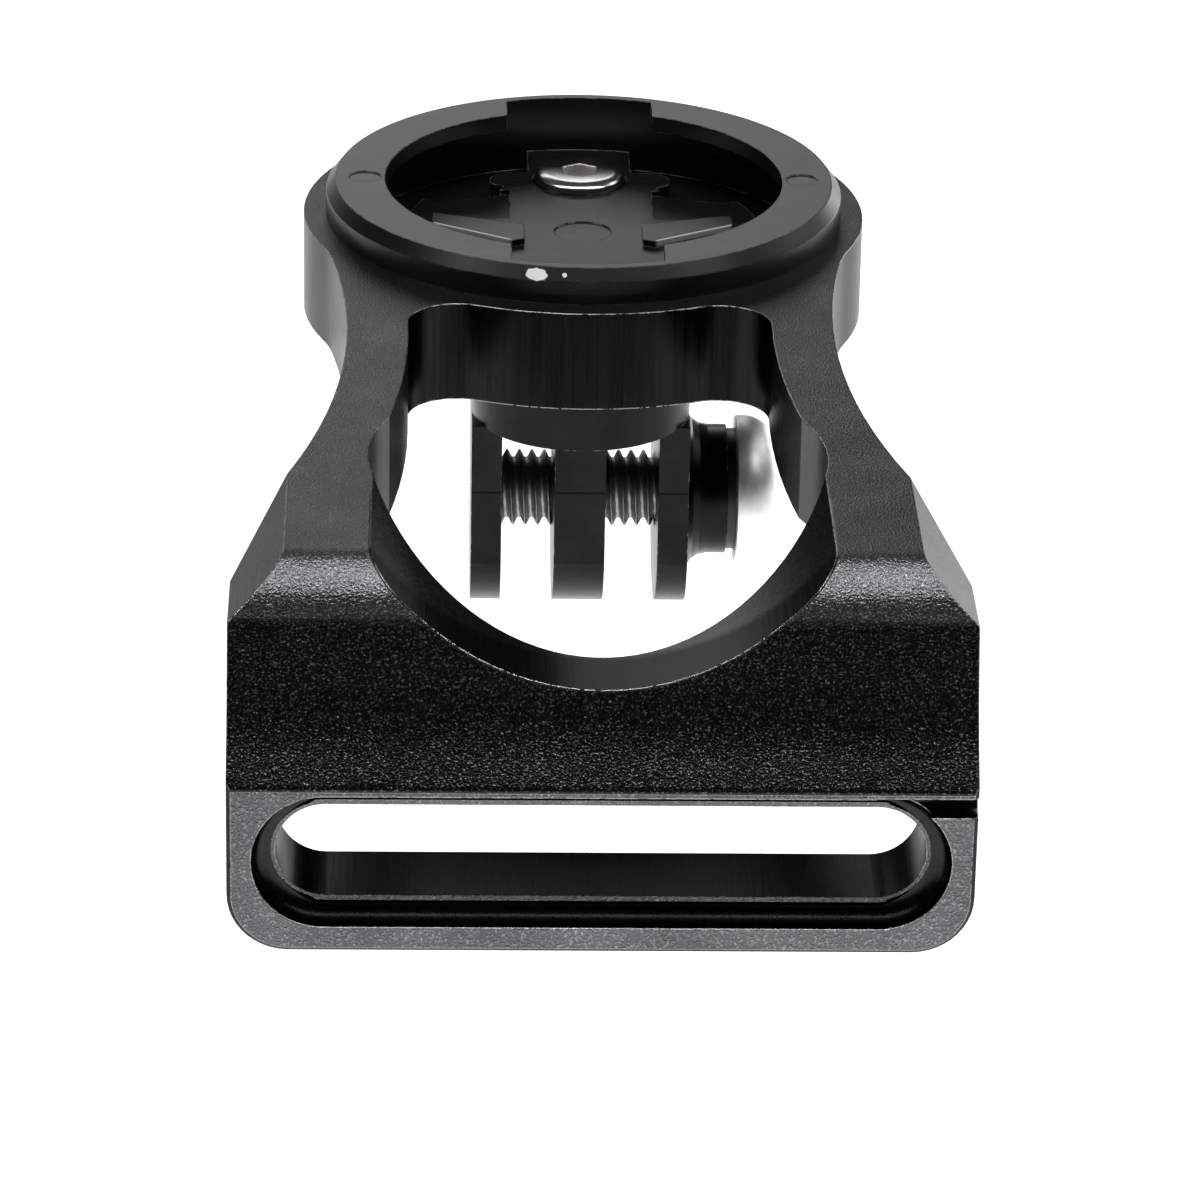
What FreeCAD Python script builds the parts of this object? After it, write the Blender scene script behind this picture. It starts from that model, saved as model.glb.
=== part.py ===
import FreeCAD, Part
import math
import os

# Bike computer mount that bolts on in front of a handlebar stem's faceplate.
# Millimetres. The origin lies on the head's axis in the head's top face.
# +Z is up, +Y leads away from the stem, +X is to the right seen from the stem.

# Bracket in plan: round head, waisted arms, wide tongue end.
HEAD_MARGIN = 1.4
PLATE_THICKNESS = 6.2
NECK_INSET = 2.96
NECK_OVERLAP = 0.455
NECK_Y = -21.2
NECK_BLEND_RADIUS = 10.0
ARM_WIDTH = 3.67
SHOULDER_START_SETBACK = 17.43
SHOULDER_END_SETBACK = 9.83
TONGUE_SIDE_WALL = 1.35

# Window between the arms and the round lobe that ends it.
WINDOW_HEAD_MARGIN = 0.1
WINDOW_CORNER_RADIUS = 3.0
LOBE_RADIUS = 13.1
LOBE_SETBACK = 20.43

# Bend and tongue seen from the side; setbacks are measured from the tongue's front.
TONGUE_FRONT_Y = -59.73
BEND_SETBACK = 4.71
BEND_RADIUS = 2.6
FLANK_SETBACK = 4.37
FLANK_Z = -3.1
FLANK_ROUND = 3.0
SWEEP_SETBACK = 2.38
SWEEP_Z = -8.4
SWEEP_RADIUS = 12.0
TONGUE_TOP_Z = -11.4
TONGUE_TOP_ROUND = 0.9
TONGUE_THICKNESS = 6.98
TONGUE_BOTTOM_Z = -21.3
TONGUE_CORNER_RADIUS = 3.4
TONGUE_EDGE_BREAK = 0.25
INNER_BEND_RADIUS = 6.0

# Scallop milled along Y through the bend, and the bevels beside it.
SCALLOP_RADIUS = 15.66
SCALLOP_AXIS_Z = 8.99
BEVEL_DROP = 3.3

# Bolt slot with its recess, and the cove that runs out at the right.
SLOT_Z = -15.79
SLOT_LENGTH = 36.0
SLOT_WIDTH = 5.57
RECESS_END_MARGIN = 1.3
RECESS_SIDE_MARGIN = 1.2
RECESS_DEPTH = 1.6
RECESS_FLOOR_ROUND = 1.05
COVE_START_X = 15.0
COVE_TOP_DROP = 0.35
COVE_BOTTOM_Z = -12.9
COVE_DEPTH = 1.1
COVE_ROUND = 0.8

# Twist-lock insert for the computer.
RING_HEIGHT = 2.18
RING_OVERHANG = 0.5
RING_BEVEL_WIDTH = 0.6
RING_BEVEL_HEIGHT = 0.75
TRACK_RADIUS = 14.9
LIP_WIDTH = 2.48
LIP_THICKNESS = 1.05
NOTCH_WIDTH = 9.3
FLOOR_Z = -1.4
PLUG_WALL = 0.7
PLUG_DEPTH = 3.0
PLUG_CLEARANCE = 0.1
MARK_RADIUS = 1.0
MARK_DEPTH = 0.08
GATE_RADIUS = 1.8

# One quarter of the insert's floor plate as (x, y, rounding), and the gutter round it.
PLATE_QUARTER = (
    (3.3, 10.6, 0.4),
    (5.75, 10.6, 1.3),
    (5.75, 8.6, 0.4),
    (4.65, 7.8, 0.4),
    (5.9, 6.8, 1.0),
    (9.5, 5.85, 0.3),
    (9.9, 6.9, 0.2),
    (10.9, 3.5, 0),
)
GUTTER_DEPTH = 1.2

# Ramps that stop the computer's tabs, and the slopes that lead up to them.
RAMP_HEIGHT = 0.4
RAMP_OUTLINE = ((3.7, 0.25), (3.7, -2.3), (4.45, -2.65), (9.4, 0.3), (9.4, 2.1))
LEAD_START_X = 4.55
LEAD_START_Y = 2.2
LEAD_END_Y = 7.4
LEAD_DROP = 0.36

# Low-head M3 screw that holds the insert.
INSERT_SCREW_TO_WALL = 5.5
M3_RADIUS = 1.5
M3_HEAD_RADIUS = 2.9
M3_HEAD_HEIGHT = 1.26
M3_HEAD_FLAT_RADIUS = 2.15
M3_HEAD_BEVEL = 0.3
M3_SOCKET_WIDTH = 2.1
M3_SOCKET_DEPTH = 0.9
M3_SEAT_Z = -2.0
M3_LENGTH = 4.0
THREAD_CLEARANCE = 0.05
HEAD_CLEARANCE = 0.1

# Action-camera adapter under the head.
ADAPTER_RADIUS = 6.93
ADAPTER_X = 0.05
ADAPTER_BASE_HEIGHT = 7.23
PRONG_AXIS_Y = 3.86
PRONG_AXIS_Z = -20.49
PRONG_HALF_DEPTH = 6.82
PRONG_END_RADIUS = 7.24
OUTER_PRONG_WIDTH = 1.93
MIDDLE_PRONG_WIDTH = 3.24
PRONG_SPAN = 13.82
BOSS_RADIUS = 4.17
BOSS_END_X = 9.57
BOSS_FLARE = 1.4
FLARE_STEPS = 4

# Countersunk M5 screw that holds the adapter, hidden under the insert.
FIXING_RADIUS = 2.5
FIXING_HEAD_RADIUS = 4.6
FIXING_HEAD_RIM = 0.25
FIXING_HEAD_SINK = 0.1
FIXING_LENGTH = 8.0
FIXING_SOCKET_WIDTH = 3.0
FIXING_SOCKET_DEPTH = 1.6

# M5 clamp screw through the prongs, with its dark washer.
CLAMP_RADIUS = 2.45
CLAMP_CLEARANCE = 0.08
CLAMP_TIP_X = -6.4
CLAMP_HEAD_OUTLINE = ((4.75, 0.6), (4.25, 1.85), (2.9, 2.75))
CLAMP_TIP_BEVEL = 0.5
CLAMP_SOCKET_WIDTH = 3.0
CLAMP_SOCKET_DEPTH = 1.6
WASHER_RADIUS = 3.9
WASHER_THICKNESS = 0.58

# How far the shapes that trim or cut the part run past it.
PAST = 2.0

X = FreeCAD.Vector(1, 0, 0)
Y = FreeCAD.Vector(0, 1, 0)
Z = FreeCAD.Vector(0, 0, 1)

# Sizes that follow from those above.
recess_length = SLOT_LENGTH + 2 * RECESS_END_MARGIN
recess_width = SLOT_WIDTH + 2 * RECESS_SIDE_MARGIN
half_width = recess_length / 2 + TONGUE_SIDE_WALL
mouth_radius = TRACK_RADIUS - LIP_WIDTH
plug_radius = TRACK_RADIUS + PLUG_WALL
ring_radius = plug_radius + RING_OVERHANG
head_radius = ring_radius + HEAD_MARGIN
window_head_radius = head_radius + WINDOW_HEAD_MARGIN
reach = head_radius - TONGUE_FRONT_Y
shoulder_start_y = TONGUE_FRONT_Y + SHOULDER_START_SETBACK
shoulder_end_y = TONGUE_FRONT_Y + SHOULDER_END_SETBACK
lobe_y = TONGUE_FRONT_Y + LOBE_SETBACK

# The neck is an arc that stands upright at the waist and just cuts the head's circle.
neck_half_width = head_radius - NECK_INSET
neck_limit = head_radius - NECK_OVERLAP
waist_reach = math.hypot(neck_half_width, NECK_Y)
neck_arc_radius = (waist_reach ** 2 - neck_limit ** 2) / (2 * (neck_limit - neck_half_width))
neck_centre_x = neck_half_width + neck_arc_radius
arm_inner_radius = neck_arc_radius + ARM_WIDTH


def point(x, y, z):
    """A vector from three numbers."""
    return FreeCAD.Vector(x, y, z)


def rounded_wire(corners, place):
    """Closed outline through (a, b, radius) corners; place maps (a, b) to space."""
    count = len(corners)
    stops = []
    for i, (a, b, radius) in enumerate(corners):
        here = FreeCAD.Vector(a, b, 0)
        before = FreeCAD.Vector(*corners[i - 1][:2], 0).sub(here).normalize()
        after = FreeCAD.Vector(*corners[(i + 1) % count][:2], 0).sub(here).normalize()
        if radius == 0:
            stops.append((here, here, here))
            continue
        half = before.getAngle(after) / 2
        cut = radius / math.tan(half)
        middle = before.add(after).normalize()
        nearest = here.add(middle.multiply(radius / math.sin(half) - radius))
        stops.append((here.add(before * cut), nearest, here.add(after * cut)))
    edges = []
    for i, (first, nearest, last) in enumerate(stops):
        if first.distanceToPoint(last) > 1e-6:
            through = [place(spot.x, spot.y) for spot in (first, nearest, last)]
            edges.append(Part.Arc(*through).toShape())
        following = stops[(i + 1) % count][0]
        if last.distanceToPoint(following) > 1e-6:
            edges.append(Part.makeLine(place(last.x, last.y), place(following.x, following.y)))
    return Part.Wire(edges)


def in_plan(a, b):
    """Places (x, y) well above the part."""
    return point(a, b, reach)


def in_side(a, b):
    """Places (y, z) well to the left of the part."""
    return point(-reach, a, b)


def from_stem(a, b):
    """Places (x, z) in the tongue's front plane."""
    return point(a, TONGUE_FRONT_Y, b)


def prism(wire, along):
    """Solid swept from a flat closed wire."""
    return Part.Face(wire).extrude(along)


def rod(radius, start, direction, length):
    """Round rod from start along direction."""
    return Part.makeCylinder(radius, length, start, direction)


def turned(corners, start, direction):
    """Solid turned from (radius, height, rounding) corners about direction."""
    wire = rounded_wire(corners, lambda a, b: point(a, 0, b))
    body = Part.Face(wire).revolve(point(0, 0, 0), Z, 360)
    body.Placement = FreeCAD.Placement(start, FreeCAD.Rotation(Z, direction))
    return body


def hexagon(width, depth, start, direction):
    """Hexagonal bar, width across flats."""
    corner = width / math.sqrt(3)
    corners = []
    for i in range(6):
        turn = math.radians(60 * i)
        corners.append((corner * math.cos(turn), corner * math.sin(turn), 0))
    bar = prism(rounded_wire(corners, lambda a, b: point(a, b, 0)), Z * depth)
    bar.Placement = FreeCAD.Placement(start, FreeCAD.Rotation(Z, direction))
    return bar


def obround(length, width, start_y, depth):
    """Bar with round ends, lying along X at the slot's height."""
    r = width / 2
    end_x = length / 2 - r
    edges = []
    for side in (1, -1):
        low = point(side * end_x, start_y, SLOT_Z - r)
        high = point(side * end_x, start_y, SLOT_Z + r)
        tip = point(side * length / 2, start_y, SLOT_Z)
        edges.append(Part.Arc(low, tip, high).toShape())
        flat = point(end_x, start_y, SLOT_Z + side * r)
        edges.append(Part.makeLine(flat - X * (2 * end_x), flat))
    return prism(Part.Wire(Part.__sortEdges__(edges)), Y * depth)


def upright_edges(body, spots):
    """Vertical edges of body that stand at one of the (x, y) spots."""
    found = []
    for edge in body.Edges:
        low, high = edge.Vertexes[0].Point, edge.Vertexes[-1].Point
        if abs(low.x - high.x) + abs(low.y - high.y) > 1e-4:
            continue
        if any(abs(low.x - x) + abs(low.y - y) < 0.05 for x, y in spots):
            found.append(edge)
    return found


def both_sides(x, y):
    """The same spot at the right and at the left."""
    return [(x, y), (-x, y)]


def export(name, body):
    """Writes one node of the part."""
    body.exportStep("parts/" + name + ".step")


def neck_x(radius, y):
    """Distance from the middle to a neck arc at the height y in plan."""
    return neck_centre_x - math.sqrt(radius ** 2 - (y - NECK_Y) ** 2)


def meeting_y(head_radius, arc_radius):
    """Where a circle about the head's axis meets a neck arc, beside the head."""
    low, high = NECK_Y, 0.0
    for _ in range(60):
        middle = (low + high) / 2
        if math.hypot(neck_x(arc_radius, middle), middle) > head_radius:
            low = middle
        else:
            high = middle
    return low


def plan_outline():
    """Outside of the bracket seen from above, as a tall prism."""
    shoulder_x = neck_x(neck_arc_radius, shoulder_start_y)
    join_y = meeting_y(head_radius, neck_arc_radius)
    join_x = neck_x(neck_arc_radius, join_y)
    front = TONGUE_FRONT_Y - PAST
    edges = []
    for side in (1, -1):
        points = [in_plan(side * half_width, front)]
        points.append(in_plan(side * half_width, shoulder_end_y))
        points.append(in_plan(side * shoulder_x, shoulder_start_y))
        edges.append(Part.makeLine(points[0], points[1]))
        edges.append(Part.makeLine(points[1], points[2]))
        waist = in_plan(side * neck_half_width, NECK_Y)
        edges.append(Part.Arc(points[2], waist, in_plan(side * join_x, join_y)).toShape())
    top = in_plan(0, head_radius)
    edges.append(Part.Arc(in_plan(join_x, join_y), top, in_plan(-join_x, join_y)).toShape())
    edges.append(Part.makeLine(in_plan(-half_width, front), in_plan(half_width, front)))
    body = prism(Part.Wire(Part.__sortEdges__(edges)), Z * (-2 * reach))
    return body.makeFillet(NECK_BLEND_RADIUS, upright_edges(body, both_sides(join_x, join_y)))


def side_outline():
    """Plate, bend and tongue seen from the side, as a wide prism."""
    back = head_radius + PAST
    tongue_back = TONGUE_FRONT_Y + TONGUE_THICKNESS
    corners = [
        (back, 0, 0),
        (TONGUE_FRONT_Y + BEND_SETBACK, 0, BEND_RADIUS),
        (TONGUE_FRONT_Y + FLANK_SETBACK, FLANK_Z, FLANK_ROUND),
        (TONGUE_FRONT_Y + SWEEP_SETBACK, SWEEP_Z, SWEEP_RADIUS),
        (TONGUE_FRONT_Y, TONGUE_TOP_Z, TONGUE_TOP_ROUND),
        (TONGUE_FRONT_Y, TONGUE_BOTTOM_Z, 0),
        (tongue_back, TONGUE_BOTTOM_Z, 0),
        (tongue_back, -PLATE_THICKNESS, INNER_BEND_RADIUS),
        (back, -PLATE_THICKNESS, 0),
    ]
    return prism(rounded_wire(corners, in_side), X * (2 * reach))


def front_outline():
    """Tongue seen from the stem: round lower corners and a broken front edge."""
    corners = [
        (-half_width, reach, 0),
        (-half_width, TONGUE_BOTTOM_Z, TONGUE_CORNER_RADIUS),
        (half_width, TONGUE_BOTTOM_Z, TONGUE_CORNER_RADIUS),
        (half_width, reach, 0),
    ]
    body = prism(rounded_wire(corners, from_stem), Y * (2 * reach))
    rim = []
    for edge in body.Edges:
        box = edge.BoundBox
        if box.YMax < TONGUE_FRONT_Y + TONGUE_EDGE_BREAK and box.ZMin < reach - PAST:
            rim.append(edge)
    return body.makeChamfer(TONGUE_EDGE_BREAK, rim)


def window():
    """Opening between the arms, closed by the round lobe before the bend."""
    corner_y = meeting_y(window_head_radius, arm_inner_radius)
    corner_x = neck_x(arm_inner_radius, corner_y)
    lobe_x = neck_x(arm_inner_radius, lobe_y)
    waist_x = neck_x(arm_inner_radius, NECK_Y)
    edges = []
    for side in (1, -1):
        start = in_plan(side * corner_x, corner_y)
        end = in_plan(side * lobe_x, lobe_y)
        edges.append(Part.Arc(start, in_plan(side * waist_x, NECK_Y), end).toShape())
    crown = in_plan(0, -window_head_radius)
    edges.append(Part.Arc(in_plan(corner_x, corner_y), crown, in_plan(-corner_x, corner_y)).toShape())
    edges.append(Part.makeLine(in_plan(-lobe_x, lobe_y), in_plan(lobe_x, lobe_y)))
    body = prism(Part.Wire(Part.__sortEdges__(edges)), Z * (-2 * reach))
    corners = upright_edges(body, both_sides(corner_x, corner_y))
    body = body.makeFillet(WINDOW_CORNER_RADIUS, corners)
    return body.fuse(rod(LOBE_RADIUS, in_plan(0, lobe_y), -Z, 2 * reach))


def bevel(side):
    """Wedge that takes the outer top edge off one side of the wide end."""
    shoulder_x = neck_x(neck_arc_radius, shoulder_start_y)
    slope = BEVEL_DROP / (half_width - shoulder_x)
    corners = [
        (side * shoulder_x, 0, 0),
        (side * (half_width + PAST), -slope * (half_width + PAST - shoulder_x), 0),
        (side * (half_width + PAST), slope * PAST, 0),
        (side * (shoulder_x - PAST), slope * PAST, 0),
    ]
    return prism(rounded_wire(corners, from_stem), Y * (shoulder_start_y + PAST - TONGUE_FRONT_Y))


def recess():
    """Shallow pocket round the slot with a rounded foot."""
    body = obround(recess_length, recess_width, TONGUE_FRONT_Y - PAST, RECESS_DEPTH + PAST)
    foot = []
    for edge in body.Edges:
        if edge.BoundBox.YMin > TONGUE_FRONT_Y:
            foot.append(edge)
    return body.makeFillet(RECESS_FLOOR_ROUND, foot)


def cove():
    """Groove under the bend that runs out at the tongue's right side."""
    top_z = TONGUE_TOP_Z - COVE_TOP_DROP
    corners = [
        (TONGUE_FRONT_Y - PAST, COVE_BOTTOM_Z, 0),
        (TONGUE_FRONT_Y + COVE_DEPTH, COVE_BOTTOM_Z, COVE_ROUND),
        (TONGUE_FRONT_Y + COVE_DEPTH, top_z, 0),
        (TONGUE_FRONT_Y - PAST, top_z, 0),
    ]
    body = prism(rounded_wire(corners, in_side), X * (2 * reach))
    keep = Part.makeBox(reach, reach, reach, point(COVE_START_X, TONGUE_FRONT_Y - PAST, -reach))
    return body.common(keep)


insert_screw_spot = point(0, TRACK_RADIUS - INSERT_SCREW_TO_WALL, 0)
pocket_radius = plug_radius + PLUG_CLEARANCE
pocket_depth = PLUG_DEPTH + PLUG_CLEARANCE
adapter_centre = point(ADAPTER_X, 0, -PLATE_THICKNESS)
fixing_top_z = -pocket_depth - FIXING_HEAD_SINK


def fixing_shape(grow):
    """Countersunk head and shank of the adapter's screw, grown by a clearance."""
    cone_end = FIXING_HEAD_RIM + FIXING_HEAD_RADIUS - FIXING_RADIUS
    corners = [
        (0, 0, 0),
        (FIXING_HEAD_RADIUS + grow, 0, 0),
        (FIXING_HEAD_RADIUS + grow, FIXING_HEAD_RIM, 0),
        (FIXING_RADIUS + grow, cone_end, 0),
        (FIXING_RADIUS + grow, FIXING_LENGTH + grow, 0),
        (0, FIXING_LENGTH + grow, 0),
    ]
    return turned(corners, point(ADAPTER_X, 0, fixing_top_z), -Z)


def bracket():
    """One-piece milled bracket: head, arms, bend and tongue."""
    body = side_outline().common(plan_outline()).common(front_outline())
    body = body.cut(window())
    front = TONGUE_FRONT_Y - PAST
    body = body.cut(rod(SCALLOP_RADIUS, point(0, front, SCALLOP_AXIS_Z), Y, lobe_y - front))
    for side in (1, -1):
        body = body.cut(bevel(side))
    body = body.cut(obround(SLOT_LENGTH, SLOT_WIDTH, front, TONGUE_THICKNESS + 2 * PAST))
    body = body.cut(recess())
    body = body.cut(cove())
    body = body.cut(rod(pocket_radius, Z * PAST, -Z, pocket_depth + PAST))
    body = body.cut(rod(M3_RADIUS + THREAD_CLEARANCE, insert_screw_spot, -Z, reach))
    body = body.cut(rod(FIXING_HEAD_RADIUS + THREAD_CLEARANCE, X * ADAPTER_X, -Z, -fixing_top_z))
    return body.cut(fixing_shape(THREAD_CLEARANCE))


def floor_plate(depth):
    """Raised middle of the insert's floor: bar, shoulders and two side lobes."""
    outline = [(PLATE_QUARTER[0][0], reach, 0), *PLATE_QUARTER]
    corners = list(outline)
    corners += [(x, -y, radius) for x, y, radius in reversed(outline)]
    corners += [(-x, -y, radius) for x, y, radius in outline]
    corners += [(-x, y, radius) for x, y, radius in reversed(outline)]
    return prism(rounded_wire(corners, lambda a, b: point(a, b, FLOOR_Z)), Z * -depth)


def lead_in(side):
    """Wedge that slopes one lobe of the floor plate down towards the back."""
    corners = [
        (LEAD_START_Y, FLOOR_Z, 0),
        (LEAD_END_Y, FLOOR_Z - LEAD_DROP, 0),
        (LEAD_END_Y, FLOOR_Z, 0),
    ]
    wire = rounded_wire(corners, lambda a, b: point(side * LEAD_START_X, a, b))
    return prism(wire, X * (side * (mouth_radius - LEAD_START_X)))


def twist_lock_insert():
    """Moulded socket: flange ring, undercut track, entry notches, floor plate with ramps."""
    body = turned([
        (0, RING_HEIGHT, 0),
        (ring_radius - RING_BEVEL_WIDTH, RING_HEIGHT, 0),
        (ring_radius, RING_HEIGHT - RING_BEVEL_HEIGHT, 0),
        (ring_radius, 0, 0),
        (plug_radius, 0, 0),
        (plug_radius, -PLUG_DEPTH, 0),
        (0, -PLUG_DEPTH, 0),
    ], point(0, 0, 0), Z)
    lip_z = RING_HEIGHT - LIP_THICKNESS
    floor = point(0, 0, FLOOR_Z)
    body = body.cut(rod(mouth_radius, floor, Z, reach))
    body = body.cut(rod(TRACK_RADIUS, floor, Z, lip_z - FLOOR_Z))
    notch = Part.makeBox(NOTCH_WIDTH, 2 * reach, reach, point(-NOTCH_WIDTH / 2, -reach, FLOOR_Z))
    body = body.cut(notch.common(rod(TRACK_RADIUS, floor, Z, reach)))
    body = body.cut(rod(TRACK_RADIUS, floor, -Z, GUTTER_DEPTH).cut(floor_plate(GUTTER_DEPTH)))
    body = body.cut(rod(GATE_RADIUS, floor, -Z, MARK_DEPTH))
    for side in (1, -1):
        mark_x = side * (mouth_radius + TRACK_RADIUS) / 2
        body = body.cut(rod(MARK_RADIUS, point(mark_x, 0, RING_HEIGHT), -Z, MARK_DEPTH))
        body = body.cut(lead_in(side))
        corners = [(side * x, y, 0) for x, y in RAMP_OUTLINE]
        foot_z = FLOOR_Z - RAMP_HEIGHT
        ramp = prism(rounded_wire(corners, lambda a, b: point(a, b, foot_z)), Z * (2 * RAMP_HEIGHT))
        body = body.fuse(ramp)
    body = body.cut(rod(M3_RADIUS + HEAD_CLEARANCE, insert_screw_spot, -Z, reach))
    seat = insert_screw_spot + Z * M3_SEAT_Z
    body = body.cut(rod(M3_HEAD_RADIUS + HEAD_CLEARANCE, seat, Z, lip_z - M3_SEAT_Z))
    return body.removeSplitter()


def insert_screw():
    """Low-head M3 screw with a hexagonal socket."""
    seat = insert_screw_spot + Z * M3_SEAT_Z
    body = turned([
        (0, M3_HEAD_HEIGHT, 0),
        (M3_HEAD_FLAT_RADIUS, M3_HEAD_HEIGHT, 0),
        (M3_HEAD_RADIUS, M3_HEAD_HEIGHT - M3_HEAD_BEVEL, 0),
        (M3_HEAD_RADIUS, 0, 0),
        (M3_RADIUS, 0, 0),
        (M3_RADIUS, -M3_LENGTH, 0),
        (0, -M3_LENGTH, 0),
    ], seat, Z)
    top = seat + Z * M3_HEAD_HEIGHT
    return body.cut(hexagon(M3_SOCKET_WIDTH, M3_SOCKET_DEPTH, top, -Z))


def clamp_boss():
    """Round boss on the right prong; its hollow flare is a quarter circle in short cones."""
    wide = BOSS_RADIUS + BOSS_FLARE
    flare = []
    for i in range(FLARE_STEPS + 1):
        turn = math.pi / 2 * i / FLARE_STEPS
        flare.append((wide - BOSS_FLARE * math.sin(turn), BOSS_FLARE * (1 - math.cos(turn)), 0))
    right = ADAPTER_X + PRONG_SPAN / 2
    return turned([
        (0, -OUTER_PRONG_WIDTH / 2, 0),
        (wide, -OUTER_PRONG_WIDTH / 2, 0),
        *flare,
        (BOSS_RADIUS, BOSS_END_X - right, 0),
        (0, BOSS_END_X - right, 0),
    ], point(right, PRONG_AXIS_Y, PRONG_AXIS_Z), X)


def adapter():
    """Camera adapter: post under the head, three prongs, flared clamp boss."""
    base = rod(ADAPTER_RADIUS, adapter_centre, -Z, ADAPTER_BASE_HEIGHT)
    base = base.fuse(rod(ADAPTER_RADIUS, adapter_centre + Y * PRONG_AXIS_Y, -Z, ADAPTER_BASE_HEIGHT))
    link = Part.makeBox(2 * ADAPTER_RADIUS, PRONG_AXIS_Y, ADAPTER_BASE_HEIGHT)
    link.translate(adapter_centre - X * ADAPTER_RADIUS - Z * ADAPTER_BASE_HEIGHT)
    body = base.fuse(link)
    left = ADAPTER_X - PRONG_SPAN / 2
    right = ADAPTER_X + PRONG_SPAN / 2
    axis = point(0, PRONG_AXIS_Y, PRONG_AXIS_Z)
    foot_z = -PLATE_THICKNESS - ADAPTER_BASE_HEIGHT
    for start, width in (
        (left, OUTER_PRONG_WIDTH),
        (ADAPTER_X - MIDDLE_PRONG_WIDTH / 2, MIDDLE_PRONG_WIDTH),
        (right - OUTER_PRONG_WIDTH, OUTER_PRONG_WIDTH),
    ):
        shank = Part.makeBox(width, 2 * PRONG_HALF_DEPTH, foot_z - PRONG_AXIS_Z)
        shank.translate(point(start, PRONG_AXIS_Y - PRONG_HALF_DEPTH, PRONG_AXIS_Z))
        end = rod(PRONG_END_RADIUS, axis + X * start, X, width)
        slab = Part.makeBox(width, 2 * PRONG_HALF_DEPTH, reach)
        slab.translate(point(start, PRONG_AXIS_Y - PRONG_HALF_DEPTH, foot_z - reach))
        body = body.fuse(shank.fuse(end.common(slab)))
    body = body.fuse(clamp_boss())
    body = body.cut(rod(CLAMP_RADIUS + CLAMP_CLEARANCE, axis + X * CLAMP_TIP_X, X, reach))
    return body.cut(fixing_shape(THREAD_CLEARANCE)).removeSplitter()


def fixing_screw():
    """Countersunk screw between head and adapter."""
    body = fixing_shape(0)
    top = point(ADAPTER_X, 0, fixing_top_z)
    return body.cut(hexagon(FIXING_SOCKET_WIDTH, FIXING_SOCKET_DEPTH, top, -Z))


def clamp_washer():
    """Thin ring between the boss and the clamp screw's head."""
    start = point(BOSS_END_X, PRONG_AXIS_Y, PRONG_AXIS_Z)
    body = rod(WASHER_RADIUS, start, X, WASHER_THICKNESS)
    return body.cut(rod(CLAMP_RADIUS + CLAMP_CLEARANCE, start, X, WASHER_THICKNESS))


def clamp_screw():
    """Button-head screw across the three prongs."""
    seat_x = BOSS_END_X + WASHER_THICKNESS
    start = point(seat_x, PRONG_AXIS_Y, PRONG_AXIS_Z)
    head = [(radius, height, 0) for radius, height in CLAMP_HEAD_OUTLINE]
    head_height = CLAMP_HEAD_OUTLINE[-1][1]
    body = turned([
        (CLAMP_HEAD_OUTLINE[0][0], 0, 0),
        *head,
        (0, head_height, 0),
        (0, CLAMP_TIP_X - seat_x, 0),
        (CLAMP_RADIUS - CLAMP_TIP_BEVEL, CLAMP_TIP_X - seat_x, 0),
        (CLAMP_RADIUS, CLAMP_TIP_X - seat_x + CLAMP_TIP_BEVEL, 0),
        (CLAMP_RADIUS, 0, 0),
    ], start, X)
    top = start + X * head_height
    return body.cut(hexagon(CLAMP_SOCKET_WIDTH, CLAMP_SOCKET_DEPTH, top, -X))


os.makedirs("parts", exist_ok=True)
export("bracket", bracket())
export("twist_lock_insert", twist_lock_insert())
export("insert_screw_rear", insert_screw())
export("camera_adapter", adapter())
export("adapter_fixing_screw", fixing_screw())
export("clamp_washer", clamp_washer())
export("clamp_screw", clamp_screw())
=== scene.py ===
import math

import bpy
import numpy as np
from mathutils import Matrix, Vector


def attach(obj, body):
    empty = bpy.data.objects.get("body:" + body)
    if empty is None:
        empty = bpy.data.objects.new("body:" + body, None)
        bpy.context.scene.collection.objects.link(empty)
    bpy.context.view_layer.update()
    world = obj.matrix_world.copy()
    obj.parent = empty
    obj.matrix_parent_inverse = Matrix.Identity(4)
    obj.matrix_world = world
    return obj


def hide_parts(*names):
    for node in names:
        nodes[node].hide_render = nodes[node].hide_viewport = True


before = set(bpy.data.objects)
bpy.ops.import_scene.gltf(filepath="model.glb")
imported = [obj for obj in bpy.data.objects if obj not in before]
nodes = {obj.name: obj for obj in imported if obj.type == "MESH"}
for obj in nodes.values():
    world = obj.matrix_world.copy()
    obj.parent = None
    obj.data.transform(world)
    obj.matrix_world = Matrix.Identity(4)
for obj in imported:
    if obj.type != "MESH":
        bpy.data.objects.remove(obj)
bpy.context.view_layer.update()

mm = 0.001

# Camera. It stands in front of the tongue, above the mount, and looks down along it
# with a long lens, so that both arms stay nearly parallel.

camera_tilt = math.radians(24.206)
camera_yaw = math.radians(-1.846)
camera_roll = math.radians(-1.126)
camera_distance = 0.369074
camera_target = Vector((0.000567, -0.030, -0.013246))
picture_width = 1200
focal_pixels = 6237.99


def camera_axes(tilt, yaw, roll):
    """Right, down and forward vectors of a camera turned by yaw, tilted down and rolled."""
    level_forward = Vector((-math.sin(yaw), math.cos(yaw), 0))
    forward = level_forward * math.cos(tilt) - Vector((0, 0, math.sin(tilt)))
    level = Vector((math.cos(yaw), math.sin(yaw), 0))
    below = forward.cross(level)
    right = level * math.cos(roll) + below * math.sin(roll)
    down = below * math.cos(roll) - level * math.sin(roll)
    return right, down, forward


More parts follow.
